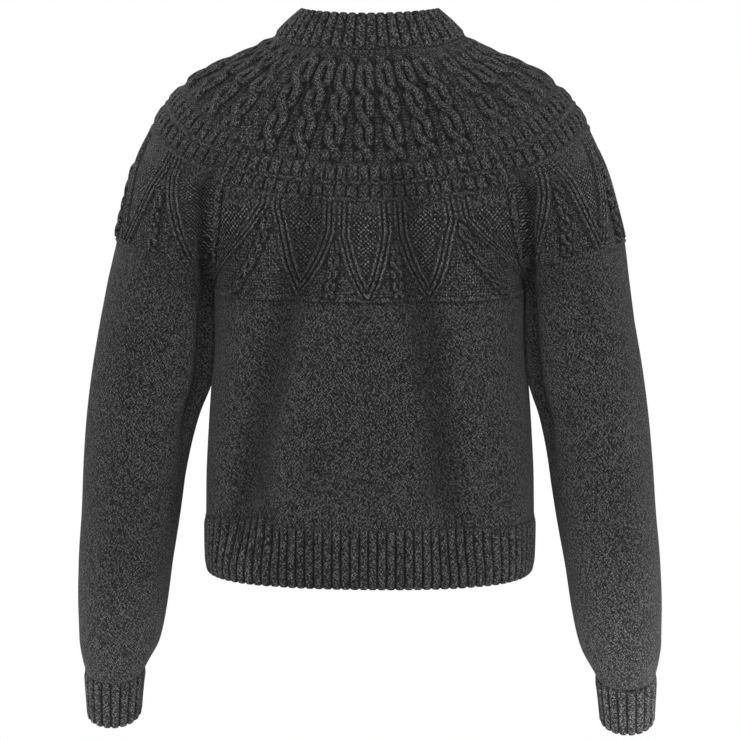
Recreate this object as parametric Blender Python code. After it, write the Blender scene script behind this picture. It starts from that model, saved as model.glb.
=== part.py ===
"""A charcoal wool pullover: raglan sleeves, a round yoke of cables and ribs, and ribbed trims.

Metres, +Z up. The garment is filled out as if worn, with nobody in it. The origin is the middle of
the neck opening at shoulder height, where the wearer's shoulders hold it. The wearer faces +Y, so
the back panel looks along -Y and the wearer's left sleeve is at -X. Every piece is a knitted wall
made of rows from its top edge down, and each row runs counterclockwise seen from above.
"""

import math
from functools import lru_cache, partial

import bmesh
import bpy
import numpy as np

GARMENT = "cabled_yoke_pullover"

# Cloth
WALL = 0.0024  # plain knit, from the inside to the ground of the relief
SEAM = 0.0003  # between two pieces that are sewn together
UNDERARM_GAP = 0.0012  # between the body's side and the sleeve that hangs against it
UNDERARM_GAP_LEVELS = (0.75, 1.0)
CLOTH_COLOUR = (0.042, 0.042, 0.043, 1.0)
CLOTH_ROUGHNESS = 0.95

# Height of the knitted relief over the ground
CABLE_RISE = 0.0034
BAR_RISE = 0.0022
BAND_RISE = 0.0020
CORD_RISE = 0.0026
RIDGE_RISE = 0.0014
SEED_RISE = 0.0008
TRIM_RIB_RISE = 0.0024
TRIM_EDGE_FULLNESS = 0.55  # of the ribs at a trim's open edge
TRIM_RIB_START = 0.004  # from a seam, or an edge, to a rib's full height

# Width of the knitted relief
CABLE_HALF_WIDTH = 0.0090
CORD_HALF_WIDTH = 0.0045
RIB_PITCH = 0.0045  # the three narrow ribs of a slanting band
NARROWEST_COLUMN = 0.00035  # where a slanting band runs into a seam
SEAM_STRIP = 0.003  # plain cloth along each seam
SEAM_EASE = 0.004  # over this much beside a seam the relief sinks to the ground
UNDERARM_EASE = 0.030
BAR_PITCH = 0.0107
HEM_RIBS = 51  # on each panel
CUFF_RIBS = 20
NECK_RIBS = 46

# Levels count rows down a piece: 0 the neck seam, 1 the underarm, 2 the top of the lower rib, 3 its
# end. The yoke's levels are shares of the raglan seam's length.
# The trunk's yoke: level, then the middle's depth and drop, the raglan seam's x, y depth and drop,
# the seam's heading in degrees off sideways, and how far each end's tangent reaches.
BACK_YOKE = (
    # level, mid_y, mid_drop, edge_x, edge_y, edge_drop, heading, mid_reach, edge_reach
    (0.000, 0.0720, 0.0120, 0.0575, 0.0565, 0.0100, 38, 0.45, 0.020),
    (0.095, 0.0830, 0.0450, 0.0780, 0.0700, 0.0327, 30, 0.45, 0.022),
    (0.173, 0.0900, 0.0620, 0.0923, 0.0800, 0.0492, 24, 0.45, 0.025),
    (0.287, 0.0980, 0.0910, 0.1104, 0.0900, 0.0776, 18, 0.45, 0.030),
    (0.400, 0.1030, 0.1190, 0.1273, 0.0940, 0.1080, 15, 0.48, 0.035),
    (0.460, 0.1050, 0.1360, 0.1356, 0.0930, 0.1245, 16, 0.50, 0.038),
    (0.575, 0.1070, 0.1640, 0.1464, 0.0830, 0.1560, 26, 0.58, 0.042),
    (0.685, 0.1080, 0.1900, 0.1487, 0.0680, 0.1860, 45, 0.66, 0.050),
    (0.810, 0.1070, 0.2180, 0.1515, 0.0450, 0.2160, 68, 0.72, 0.062),
    (1.000, 0.1040, 0.2540, 0.1548, 0.0000, 0.2515, 90, 0.78, 0.080),
)
FRONT_YOKE = (
    # level, mid_y, mid_drop, edge_x, edge_y, edge_drop, heading, mid_reach, edge_reach
    (0.000, 0.0690, 0.0560, 0.0600, 0.0520, 0.0340, 38, 0.45, 0.020),
    (0.095, 0.0840, 0.0780, 0.0775, 0.0680, 0.0550, 30, 0.45, 0.022),
    (0.173, 0.0940, 0.0960, 0.0905, 0.0800, 0.0720, 26, 0.45, 0.026),
    (0.287, 0.1070, 0.1210, 0.1070, 0.0920, 0.0960, 22, 0.45, 0.032),
    (0.400, 0.1160, 0.1470, 0.1225, 0.0990, 0.1210, 20, 0.48, 0.038),
    (0.460, 0.1190, 0.1600, 0.1300, 0.1000, 0.1350, 21, 0.50, 0.042),
    (0.575, 0.1230, 0.1840, 0.1415, 0.0940, 0.1600, 30, 0.58, 0.050),
    (0.685, 0.1250, 0.2060, 0.1475, 0.0800, 0.1840, 47, 0.66, 0.060),
    (0.810, 0.1260, 0.2290, 0.1515, 0.0550, 0.2150, 68, 0.72, 0.075),
    (1.000, 0.1260, 0.2620, 0.1548, 0.0000, 0.2515, 90, 0.78, 0.098),
)
# The sleeve's yoke: level, its outermost point, and its arcs' headings and reaches at that point and
# at the two raglan seams. A heading below 0 starts outward and away from the body's middle plane.
SLEEVE_YOKE = (
    # level, out_x, out_drop, heading, edge_reach, out_reach
    (0.000, 0.0940, -0.0005, 38, 0.020, 0.025),
    (0.095, 0.1150, 0.0130, 30, 0.022, 0.030),
    (0.173, 0.1385, 0.0225, 20, 0.028, 0.038),
    (0.287, 0.1710, 0.0380, 10, 0.036, 0.048),
    (0.400, 0.2005, 0.0640, 0, 0.040, 0.052),
    (0.460, 0.2145, 0.0865, -8, 0.042, 0.055),
    (0.575, 0.2338, 0.1300, -25, 0.045, 0.060),
    (0.685, 0.2435, 0.1650, -45, 0.050, 0.065),
    (0.810, 0.2515, 0.1970, -68, 0.060, 0.070),
    (1.000, 0.2597, 0.2400, -90, 0.077, 0.077),
)
# The trunk below the underarm, and its rib from level 2.
TRUNK = (
    # level, half_width, side_drop, back_y, back_drop, front_y, front_drop
    (1.00, 0.1548, 0.2515, 0.1040, 0.2540, 0.1260, 0.2620),
    (1.25, 0.1550, 0.3050, 0.1015, 0.3075, 0.1235, 0.3120),
    (1.45, 0.1588, 0.3470, 0.0995, 0.3490, 0.1210, 0.3520),
    (1.65, 0.1618, 0.3900, 0.0985, 0.3910, 0.1190, 0.3930),
    (1.85, 0.1643, 0.4400, 0.1005, 0.4410, 0.1180, 0.4420),
    (2.00, 0.1648, 0.4770, 0.1030, 0.4770, 0.1180, 0.4780),
    (2.80, 0.1641, 0.5190, 0.1055, 0.5225, 0.1190, 0.5205),
    (3.00, 0.1625, 0.5290, 0.1040, 0.5335, 0.1175, 0.5310),
)
TRUNK_CORNER = 0.78  # reach of a quarter's tangents, as a share of its half width and depth
# The arm below the underarm, and its cuff from level 2. It hangs outward and the forearm leans
# forward, so the rows tilt with it.
ARM = (
    # level, inner_x, outer_x, inner_drop, outer_drop, middle_y, depth, lean_degrees
    (1.00, 0.1548, 0.2597, 0.2515, 0.2400, 0.000, 0.0578, 0),
    (1.10, 0.1553, 0.2665, 0.2900, 0.2800, 0.000, 0.0575, 0),
    (1.22, 0.1585, 0.2750, 0.3365, 0.3280, 0.000, 0.0570, 1),
    (1.33, 0.1712, 0.2810, 0.3780, 0.3710, 0.001, 0.0560, 3),
    (1.45, 0.1815, 0.2860, 0.4250, 0.4190, 0.007, 0.0545, 6),
    (1.60, 0.1905, 0.2905, 0.4810, 0.4760, 0.018, 0.0520, 10),
    (1.73, 0.2000, 0.2957, 0.5330, 0.5290, 0.028, 0.0495, 12),
    (1.86, 0.2105, 0.2980, 0.5840, 0.5810, 0.036, 0.0470, 14),
    (1.93, 0.2180, 0.2980, 0.6150, 0.6130, 0.041, 0.0440, 16),
    (1.97, 0.2258, 0.2955, 0.6340, 0.6330, 0.043, 0.0390, 18),
    (2.00, 0.2315, 0.2925, 0.6470, 0.6470, 0.044, 0.0325, 20),
    (2.50, 0.2350, 0.2915, 0.6700, 0.6700, 0.047, 0.0305, 22),
    (3.00, 0.2375, 0.2905, 0.6935, 0.6935, 0.050, 0.0290, 24),
)
HALF_ELLIPSE_REACH = 4 / 3  # tangents of one cubic that draws half an ellipse, over its depth
# The wearer's left sleeve hangs this much further out, and the right one less: the levels over
# which that comes in at the outside and at the inside.
SLEEVE_SWING = {"left": 0.0034, "right": -0.0034}
OUTSIDE_SWING_LEVELS = (0.85, 1.10)
INSIDE_SWING_LEVELS = (1.25, 1.50)
# The neckband's top edge: its half width, and the y and drop of its back, sides and front.
NECK_TOP_HALF_WIDTH = 0.0655
NECK_TOP = {"back": (-0.0580, -0.0235), "side": (-0.0020, -0.0270), "front": (0.0560, 0.0240)}
NECK_BULGE = 0.0015  # of the neckband outward, at its mid height
ROUND_REACH = 0.56  # tangents of a cubic that draws a quarter of a circle, over its radius

# The yoke's pattern on each piece, in shares of a row from its first edge and in levels.
# Cables end, two rows of bars, then slanting bands that zigzag between peaks (under the bars) and
# tips (at the yoke's lower edge), with a cord hanging under each peak.
CABLE_TURNS_PER_LEVEL = 9.35
CABLE_FULLEST = 0.47  # half width of a cable at its most crowded, in the same unit
STRAND_SWING = 0.5  # of each strand's middle off the cable's, over the cable's half width
STRAND_HALF_WIDTH = 0.6
STRAND_DIP = 0.25  # how much the height drops from the front strand to a side by side one
RIB_GROOVE = 0.3  # height between the ribs of a band, over their own
CORD_START = 0.4  # part of the bands' length over which a cord rises out of the ground
RIDGE_OFFSET = 0.010  # levels from the bands' end to the ridge under them
# The first cable's middle is given from its seam in spaces between cables.
BACK_PATTERN = {
    "cables": 7,
    "first_cable": 0.95,
    "cables_end": 0.400,
    "bars": (0.405, 0.465, 0.472, 0.528),
    "bands": (0.535, 0.620, 0.985),
    "tips": (0.010, 0.347, 0.508, 0.649, 0.990),
    "peaks": (0.177, 0.399, 0.584, 0.793),
}
FRONT_PATTERN = dict(
    BACK_PATTERN,
    tips=(0.010, 0.350, 0.500, 0.650, 0.990),
    peaks=(0.185, 0.405, 0.595, 0.815),
)
SLEEVE_PATTERN = {
    "cables": 9,
    "first_cable": 0.55,
    "cables_end": 0.335,
    "bars": (0.340, 0.400, 0.407, 0.462),
    "bands": (0.470, 0.540, 0.820),
    "tips": (0.030, 0.320, 0.610, 0.900, 1.190),
    "peaks": (0.165, 0.455, 0.745, 1.035),
}
LEFT_TIPS_SHIFT = 0.07  # the left sleeve's bands start this much later in its row

# Columns of the plain knit: shares of a row, closer together where the trunk turns its corners.
TRUNK_HALF_COLUMNS = (0, 0.04, 0.08, 0.12, 0.16, 0.20, 0.26, 0.34, 0.42)
TRUNK_COLUMNS = TRUNK_HALF_COLUMNS + (0.5,) + tuple(1 - share for share in TRUNK_HALF_COLUMNS[::-1])
SLEEVE_COLUMNS = tuple(i / 18 for i in range(19))
NECK_COLUMNS = tuple(i / 32 for i in range(33))
TRUNK_PLAIN_LEVELS = (1.03, 1.2, 1.4, 1.6, 1.8, 1.9993)
SLEEVE_PLAIN_LEVELS = (0.86, 0.93, 1.0, 1.22, 1.33, 1.45, 1.6, 1.73, 1.86, 1.93, 1.97, 1.9996)
TRIM_FIRST_LEVEL = 2.003
TRIM_LAST_LEVEL = 3.0
NECKBAND_LAST_LEVEL = 0.986
RAGLAN_LEVELS = (0.0, 0.1, 0.2, 0.3, 0.4, 0.5, 0.6, 0.7, 0.8, 0.88, 0.94, 1.0)
CABLE_ROWS_PER_TURN = 4


def at_level(table, level):
    """The table's other columns at a level, on a smooth curve that never swings past its rows."""
    rows = np.array(table, dtype=float)
    keys = rows[:, 0]
    spans = np.diff(keys)[:, None]
    steps = np.diff(rows, axis=0) / spans
    same_way = steps[:-1] * steps[1:] > 0
    before, after = (np.where(same_way, step, 1) for step in (steps[:-1], steps[1:]))
    near, far = 2 * spans[1:] + spans[:-1], spans[1:] + 2 * spans[:-1]
    mean = np.where(same_way, (near + far) / (near / before + far / after), 0)
    slopes = np.concatenate((steps[:1], mean, steps[-1:]))
    i = int(np.clip(np.searchsorted(keys, level) - 1, 0, len(keys) - 2))
    span = keys[i + 1] - keys[i]
    f = (level - keys[i]) / span
    start = rows[i] * (2 * f**3 - 3 * f**2 + 1) + slopes[i] * span * (f**3 - 2 * f**2 + f)
    end = rows[i + 1] * (3 * f**2 - 2 * f**3) + slopes[i + 1] * span * (f**3 - f**2)
    return (start + end)[1:]


def curve(a, b, c, d, steps=28):
    """Points of a cubic Bezier curve."""
    t = np.linspace(0, 1, steps + 1)[:, None]
    a, b, c, d = (np.array(p, dtype=float) for p in (a, b, c, d))
    return (1 - t) ** 3 * a + 3 * (1 - t) ** 2 * t * b + 3 * (1 - t) * t**2 * c + t**3 * d


def chain(*curves):
    """Curves that follow each other, as one."""
    return np.concatenate([curves[0]] + [c[1:] for c in curves[1:]])


def mirrored(points):
    """The same run of points on the other side of the body, in the opposite order."""
    return (points * (-1, 1, 1))[::-1]


def ramp(level, span):
    """0 up to the span's first level and 1 from its last."""
    return float(np.clip((level - span[0]) / (span[1] - span[0]), 0, 1))


def underarm_gap(level):
    """Half the clearance between trunk and sleeve, which opens as the raglan seam nears the underarm."""
    return (UNDERARM_GAP - SEAM) / 2 * ramp(level, UNDERARM_GAP_LEVELS)


def trunk_row(level, side):
    """A row of the back (side -1, from -X to +X) or of the front (side +1, from +X to -X)."""
    if level <= 1:
        columns = at_level(BACK_YOKE if side < 0 else FRONT_YOKE, level)
        mid_y, mid_drop, edge_x, edge_y, edge_drop, heading, mid_reach, edge_reach = columns
    else:
        edge_x, edge_drop, *depths = at_level(TRUNK, level)
        mid_y, mid_drop = depths[:2] if side < 0 else depths[2:]
        edge_y, heading, mid_reach, edge_reach = 0, 90, TRUNK_CORNER, TRUNK_CORNER * mid_y
    edge_x -= underarm_gap(level)
    turn = math.radians(heading)
    middle = np.array((0, side * mid_y, -mid_drop))
    edge = np.array((edge_x, side * edge_y, -edge_drop))
    toward_edge = np.array((math.cos(turn), -side * math.sin(turn), 0))
    half = curve(middle, middle + (mid_reach * edge_x, 0, 0), edge - edge_reach * toward_edge, edge)
    row = chain(mirrored(half), half)
    return row if side < 0 else row[::-1]


def raglan_point(level, side):
    """The sleeve's edge at the raglan seam of the back (side -1) or the front (side +1)."""
    columns = at_level(BACK_YOKE if side < 0 else FRONT_YOKE, level)
    return np.array((columns[2] + underarm_gap(level), side * columns[3], -columns[4]))


def sleeve_row(level, swing):
    """A row of the sleeve at +X, from its seam at the back, round the outside, to its seam at the front."""
    if level <= 1:
        out_x, out_drop, heading, edge_reach, out_reach = at_level(SLEEVE_YOKE, level)
        turn = math.radians(heading)
        out = np.array((out_x + swing * ramp(level, OUTSIDE_SWING_LEVELS), 0, -out_drop))
        halves = []
        for side in (-1, 1):
            edge = raglan_point(level, side)
            away = np.array((math.cos(turn), -side * math.sin(turn), 0))
            halves.append(curve(edge, edge + edge_reach * away, out + (0, side * out_reach, 0), out))
        return chain(halves[0], halves[1][::-1])
    inner_x, outer_x, inner_drop, outer_drop, middle_y, depth, lean = at_level(ARM, level)
    inner_x += underarm_gap(level) + swing * ramp(level, INSIDE_SWING_LEVELS)
    inner = np.array((inner_x, middle_y, -inner_drop))
    outer = np.array((outer_x + swing * ramp(level, OUTSIDE_SWING_LEVELS), middle_y, -outer_drop))
    tilt = math.radians(lean)
    back = depth * HALF_ELLIPSE_REACH * np.array((0, -math.cos(tilt), -math.sin(tilt)))
    there = curve(inner, inner + back, outer + back, outer)
    return chain(there, curve(outer, outer - back, inner - back, inner))


def neck_seam():
    """The neck seam's loop, from the back raglan seam at -X and round by the back, +X and the front."""
    right = sleeve_row(0, 0)
    return chain(trunk_row(0, -1), right, trunk_row(0, 1), mirrored(right))


def neck_top():
    """The neckband's top loop, from the same place as the neck seam's."""
    back, side, front = (np.array((0, y, -drop)) for y, drop in NECK_TOP.values())
    side[0] = NECK_TOP_HALF_WIDTH
    reach = np.array((NECK_TOP_HALF_WIDTH * ROUND_REACH, 0, 0))
    to_side = np.array((0, ROUND_REACH, 0))
    right = chain(
        curve(back, back + reach, side + to_side * (back[1] - side[1]), side),
        curve(side, side + to_side * (front[1] - side[1]), front + reach, front),
    )
    return chain(right, mirrored(right))


def evenly(points, shares):
    """Points at the given shares of a run's length."""
    lengths = np.concatenate(([0], np.cumsum(np.linalg.norm(np.diff(points, axis=0), axis=1))))
    at = np.asarray(shares) * lengths[-1]
    return np.stack([np.interp(at, lengths, points[:, axis]) for axis in range(3)], axis=1)


def neckband_row(level):
    """A row of the neckband: level 0 is its top edge and level 1 the neck seam."""
    seam = neck_seam()
    seam_length = np.linalg.norm(np.diff(seam, axis=0), axis=1)
    start = seam_length[: len(trunk_row(0, -1)) // 2].sum() / seam_length.sum()
    shares = np.linspace(0, 1, 181)
    low = evenly(seam, (shares + start) % 1)
    high = evenly(neck_top(), shares)
    high[-1] = high[0]
    low[-1] = low[0]
    outward = low * (1, 1, 0)
    outward /= np.linalg.norm(outward, axis=1)[:, None]
    return high + (low - high) * level + outward * NECK_BULGE * math.sin(math.pi * level)


class Cloth:
    """A knitted piece: rows of a smooth surface, its relief, and the wall under them."""

    def __init__(self, name, row, first_level, last_level):
        self.name = name
        self.row = lru_cache(maxsize=None)(row)
        self.first, self.last = first_level, last_level
        self.mesh = bmesh.new()

    def length(self, level):
        """The length of a row."""
        return np.linalg.norm(np.diff(self.row(level), axis=0), axis=1).sum()

    def points(self, level, shares):
        """Surface points of a row, kept half a seam's gap off both its ends."""
        inset = SEAM / 2 / self.length(level)
        return evenly(self.row(level), inset + np.asarray(shares) * (1 - 2 * inset))

    def normals(self, level, shares, step=0.002):
        """Outward directions at those points."""
        shares = np.asarray(shares)
        ahead, behind = np.minimum(shares + step, 1), np.maximum(shares - step, 0)
        along = self.points(level, ahead) - self.points(level, behind)
        above = self.points(max(level - step, self.first), shares)
        below = self.points(min(level + step, self.last), shares)
        out = np.cross(below - above, along)
        return out / np.linalg.norm(out, axis=1)[:, None]

    def lay(self, level, shares, rises):
        """Vertices of one row, raised off the surface, each with its share."""
        spots = self.points(level, shares) + self.normals(level, shares) * np.asarray(rises)[:, None]
        return [(share, self.mesh.verts.new(spot)) for share, spot in zip(shares, spots)]

    def strip(self, upper, lower):
        """Triangles between two runs of (share, vertex), kept even by their shares."""
        i = j = 0
        while i + 1 < len(upper) or j + 1 < len(lower):
            if j + 1 == len(lower) or (i + 1 < len(upper) and upper[i + 1][0] <= lower[j + 1][0]):
                self.mesh.faces.new((upper[i][1], lower[j][1], upper[i + 1][1]))
                i += 1
            else:
                self.mesh.faces.new((upper[i][1], lower[j][1], lower[j + 1][1]))
                j += 1

    def stack(self, rows):
        """Rows joined downward: column by column where they match, or else by their shares."""
        for upper, lower in zip(rows, rows[1:]):
            if len(upper) != len(lower):
                self.strip(upper, lower)
                continue
            for (_, a), (_, b), (_, c), (_, d) in zip(upper, upper[1:], lower, lower[1:]):
                self.mesh.faces.new((a, c, d))
                self.mesh.faces.new((a, d, b))

    def knit(self, outer_rows, seam_levels, inner_shares):
        """The closed wall: relief rows, a hem along each side at the seam's levels, and a plain inside."""
        outer = []
        for level, shares, rises in outer_rows:
            margin = SEAM_STRIP / self.length(level)
            outer.append(self.lay(level, [margin + share * (1 - 2 * margin) for share in shares], rises))
        inner = [self.lay(level, inner_shares, [-WALL] * len(inner_shares)) for level in seam_levels]
        self.stack(outer)
        self.stack(inner)
        sides = []
        for end in (0, -1):
            side = [(level, self.lay(level, [-end], [0.0])[0][1]) for level in seam_levels]
            self.strip(side, [(level, row[end][1]) for (level, _, _), row in zip(outer_rows, outer)])
            self.strip(side, [(level, row[end][1]) for level, row in zip(seam_levels, inner)])
            sides.append(side)
        for end in (0, -1):
            self.strip([(0, sides[0][end][1])] + outer[end] + [(1, sides[1][end][1])], inner[end])
        bmesh.ops.recalc_face_normals(self.mesh, faces=self.mesh.faces)
        if self.mesh.calc_volume(signed=True) < 0:
            bmesh.ops.reverse_faces(self.mesh, faces=self.mesh.faces)
        data = bpy.data.meshes.new(self.name)
        self.mesh.to_mesh(data)
        self.mesh.free()
        data.materials.append(cloth_material(self.name))
        piece = bpy.data.objects.new(self.name, data)
        garment.objects.link(piece)


def cloth_material(name):
    """Dark grey wool."""
    material = bpy.data.materials.new(name)
    material.use_nodes = True
    shader = material.node_tree.nodes["Principled BSDF"]
    shader.inputs["Base Color"].default_value = CLOTH_COLOUR
    shader.inputs["Roughness"].default_value = CLOTH_ROUGHNESS
    shader.inputs["Metallic"].default_value = 0.0
    return material


def rope(across, turns):
    """Height of a two-strand cable, 0 to 1: across runs from -1 to 1, and one turn is one crossing."""
    height = 0.0
    for strand in (0, 1):
        swing = math.pi * (turns + strand)
        offset = across + STRAND_SWING * math.cos(swing)
        roundness = max(0.0, 1 - (offset / STRAND_HALF_WIDTH) ** 2) ** 0.5
        height = max(height, roundness * (1 - STRAND_DIP + STRAND_DIP * math.sin(swing)))
    return height


def cable_row(cloth, level, pattern):
    """A row across evenly spaced cables."""
    shares, rises = [0.0], [0.0]
    space = 1 / (pattern["cables"] - 1 + 2 * pattern["first_cable"])
    half = min(CABLE_HALF_WIDTH / cloth.length(level), CABLE_FULLEST * space)
    for number in range(pattern["cables"]):
        centre = (number + pattern["first_cable"]) * space
        for across in (-1, -0.5, 0, 0.5, 1):
            shares.append(centre + across * half)
            rises.append(CABLE_RISE * rope(across, level * CABLE_TURNS_PER_LEVEL) if abs(across) < 1 else 0.0)
    return level, shares + [1.0], rises + [0.0]


def ribbed_row(level, count, rise):
    """A row across evenly spaced ribs, from groove to crest to groove."""
    shares = [i / (2 * count) for i in range(2 * count + 1)]
    return level, shares, [rise * (i % 2) for i in range(2 * count + 1)]


def even_row(level, shares, rise):
    """A row at one height, brought down to the ground at both seams."""
    return level, list(shares), [0.0] + [rise] * (len(shares) - 2) + [0.0]


def ribbed_band(centre, width):
    """Columns of (share, height) across a band of three narrow ribs."""
    heights = (0, 1, RIB_GROOVE, 1, RIB_GROOVE, 1, 0)
    return [(centre + (i / 6 - 0.5) * width, height) for i, height in enumerate(heights)]


def fill(start, stop):
    """Two columns of seed stitch between two shares."""
    return [(start + (stop - start) * part, SEED_RISE / BAND_RISE) for part in (1 / 3, 2 / 3)]


def band_row(cloth, level, pattern):
    """A row across the slanting bands, with the cords between them and seed stitch in each V."""
    top, apart, end = pattern["bands"]
    slant = ramp(level, (apart, end))
    unit = 1 / cloth.length(level)
    width = 3 * RIB_PITCH * unit
    columns = []
    past = 0.0
    for number, peak in enumerate(pattern["peaks"]):
        left = peak - width / 2 + (pattern["tips"][number] + width - peak) * slant
        right = peak + width / 2 + (pattern["tips"][number + 1] - width - peak) * slant
        cord = (left + right) / 2
        half = min(CORD_HALF_WIDTH * unit, (right - left - width) / 4)
        height = CORD_RISE / BAND_RISE * min(1.0, slant / CORD_START)
        columns += fill(past, left - width / 2) + ribbed_band(left, width)
        columns += [(cord - half, 0), (cord, height), (cord + half, 0)]
        columns += ribbed_band(right, width)
        past = right + width / 2
    columns += fill(past, 1.0)
    shares, rises = [0.0], [0.0]
    nearest = NARROWEST_COLUMN * unit
    for i, (share, height) in enumerate(columns):
        low = shares[-1] + nearest
        high = 1 - (len(columns) - i) * nearest
        shares.append(min(max(share, low), high))
        rises.append(height * BAND_RISE if low < share < high else 0.0)
    return level, shares + [1.0], rises + [0.0]


def eased(cloth, rows):
    """The rows with their relief sinking to the ground beside the seams."""
    result = []
    for level, shares, rises in rows:
        reach = SEAM_EASE + (UNDERARM_EASE - SEAM_EASE) * ramp(level, UNDERARM_GAP_LEVELS)
        to_seam = [min(share, 1 - share) * cloth.length(level) for share in shares]
        result.append((level, shares, [rise * min(1.0, gap / reach) for rise, gap in zip(rises, to_seam)]))
    return result


def yoke_rows(cloth, pattern):
    """The outer rows from the neck seam to the yoke's lower edge."""
    end = pattern["cables_end"]
    count = round(end * CABLE_TURNS_PER_LEVEL * CABLE_ROWS_PER_TURN)
    rows = [cable_row(cloth, end * i / count, pattern) for i in range(count + 1)]
    rows[0] = even_row(0.0, rows[0][1], 0.0)
    bars = round(cloth.length(pattern["bars"][1]) / BAR_PITCH)
    first_top, first_end, second_top, second_end = pattern["bars"]
    rows += [ribbed_row(level, bars, BAR_RISE) for level in (first_top, first_end)]
    rows.append(even_row((first_end + second_top) / 2, TRUNK_COLUMNS, RIDGE_RISE))
    rows += [ribbed_row(level, bars, BAR_RISE) for level in (second_top, second_end)]
    top, apart, bottom = pattern["bands"]
    levels = (top, apart, (apart + bottom) / 2, bottom - RIDGE_OFFSET)
    return rows + [band_row(cloth, level, pattern) for level in levels]


def panel(name, side, pattern):
    """The back or the front, from the neck seam to the top of its hem rib."""
    cloth = Cloth(name, partial(trunk_row, side=side), 0.0, 2.0)
    rows = yoke_rows(cloth, pattern)
    rows.append(even_row(pattern["bands"][2] + RIDGE_OFFSET, TRUNK_COLUMNS, RIDGE_RISE))
    rows = eased(cloth, rows)
    rows += [even_row(level, TRUNK_COLUMNS, 0.0) for level in TRUNK_PLAIN_LEVELS]
    cloth.knit(rows, RAGLAN_LEVELS + TRUNK_PLAIN_LEVELS, TRUNK_COLUMNS)


def sleeve(name, mirror, pattern):
    """A sleeve, from the neck seam over the shoulder to the top of its cuff."""
    arm = partial(sleeve_row, swing=SLEEVE_SWING[name.removeprefix("sleeve_")])
    cloth = Cloth(name, side_row(arm, mirror), 0.0, 2.0)
    rows = yoke_rows(cloth, pattern)
    rows.append(even_row(pattern["bands"][2] + RIDGE_OFFSET, SLEEVE_COLUMNS, RIDGE_RISE))
    rows = eased(cloth, rows)
    rows += [even_row(level, SLEEVE_COLUMNS, 0.0) for level in SLEEVE_PLAIN_LEVELS]
    below = tuple(level for level in SLEEVE_PLAIN_LEVELS if level > 1)
    cloth.knit(rows, RAGLAN_LEVELS + below, SLEEVE_COLUMNS)


def side_row(row, mirror):
    """The row itself at +X, or mirrored to -X."""
    return (lambda level: mirrored(row(level))) if mirror else row


def mirrored_pattern(pattern, shift):
    """A sleeve's pattern for rows that run from front to back."""
    tips = tuple(sorted(1 - (tip + shift) for tip in pattern["tips"]))
    peaks = tuple(sorted(1 - (peak + shift) for peak in pattern["peaks"]))
    return dict(pattern, tips=tips, peaks=peaks)


def ribbed_trim(name, row, first, last, ribs, columns, seam_first=True):
    """A ribbed band: its ribs rise beside its seam and round off at its open edge."""
    cloth = Cloth(name, row, first, last)
    height = np.linalg.norm(cloth.points(last, [0.5]) - cloth.points(first, [0.5]))
    start = TRIM_RIB_START / height * (last - first)
    fullness = (0.0, 1.0, 1.0, TRIM_EDGE_FULLNESS)
    if not seam_first:
        fullness = fullness[::-1]
    levels = (first, first + start, last - start, last)
    rows = [ribbed_row(level, ribs, rise * TRIM_RIB_RISE) for level, rise in zip(levels, fullness)]
    cloth.knit(rows, (first, (first + last) / 2, last), columns)


for old in list(bpy.data.objects):
    bpy.data.objects.remove(old)
garment = bpy.data.collections.new(GARMENT)
bpy.context.scene.collection.children.link(garment)

for face, side, pattern in (("back", -1, BACK_PATTERN), ("front", 1, FRONT_PATTERN)):
    panel(face, side, pattern)
    rib = partial(trunk_row, side=side)
    ribbed_trim("hem_rib_" + face, rib, TRIM_FIRST_LEVEL, TRIM_LAST_LEVEL, HEM_RIBS, TRUNK_COLUMNS)
sleeve("sleeve_right", False, SLEEVE_PATTERN)
sleeve("sleeve_left", True, mirrored_pattern(SLEEVE_PATTERN, LEFT_TIPS_SHIFT))
for hand, mirror in (("right", False), ("left", True)):
    arm = side_row(partial(sleeve_row, swing=SLEEVE_SWING[hand]), mirror)
    ribbed_trim("cuff_" + hand, arm, TRIM_FIRST_LEVEL, TRIM_LAST_LEVEL, CUFF_RIBS, SLEEVE_COLUMNS)
ribbed_trim("neckband", neckband_row, 0.0, NECKBAND_LAST_LEVEL, NECK_RIBS, NECK_COLUMNS, seam_first=False)
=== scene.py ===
import math

import bmesh
import bpy
import numpy as np
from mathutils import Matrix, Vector


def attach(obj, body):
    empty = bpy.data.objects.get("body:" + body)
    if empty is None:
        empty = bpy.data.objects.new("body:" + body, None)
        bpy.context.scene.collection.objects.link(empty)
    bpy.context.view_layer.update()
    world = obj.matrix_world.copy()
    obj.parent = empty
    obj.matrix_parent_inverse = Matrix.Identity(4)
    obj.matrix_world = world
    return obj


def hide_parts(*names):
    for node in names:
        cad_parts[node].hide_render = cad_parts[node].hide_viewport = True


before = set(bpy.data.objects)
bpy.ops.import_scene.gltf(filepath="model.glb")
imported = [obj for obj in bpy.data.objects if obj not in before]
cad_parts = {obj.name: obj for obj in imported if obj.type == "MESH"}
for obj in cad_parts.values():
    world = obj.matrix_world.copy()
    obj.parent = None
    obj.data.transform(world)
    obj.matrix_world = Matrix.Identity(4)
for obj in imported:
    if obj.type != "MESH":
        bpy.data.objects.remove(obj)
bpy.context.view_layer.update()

# --- Back -------------------------------------------------------------------------------------
# The back panel with its part of the yoke, knitted flat in one piece of charcoal heather wool:
# seven cables, two rows of bars, slanting ribs with seed stitch between them, then plain knit.
# It is sewn to the sleeves along the raglan seams and to the front along the side seams.
WALL = 0.0024
SEAM = 0.0003
UNDERARM_GAP = 0.0012
CABLE_RISE = 0.0056
BAR_RISE = 0.0024
BAND_RISE = 0.0024
CORD_RISE = 0.0048
RIDGE_RISE = 0.0018
CABLE_HALF_WIDTH = 0.0094
CORD_HALF_WIDTH = 0.0054
RIB_PITCH = 0.0050
WALE = 0.0026
COURSE = 0.0021
SEED_PITCH = (0.0023, 0.0022)
CABLE_TURN = 0.0270
CORD_TURN = 0.0155
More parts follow.
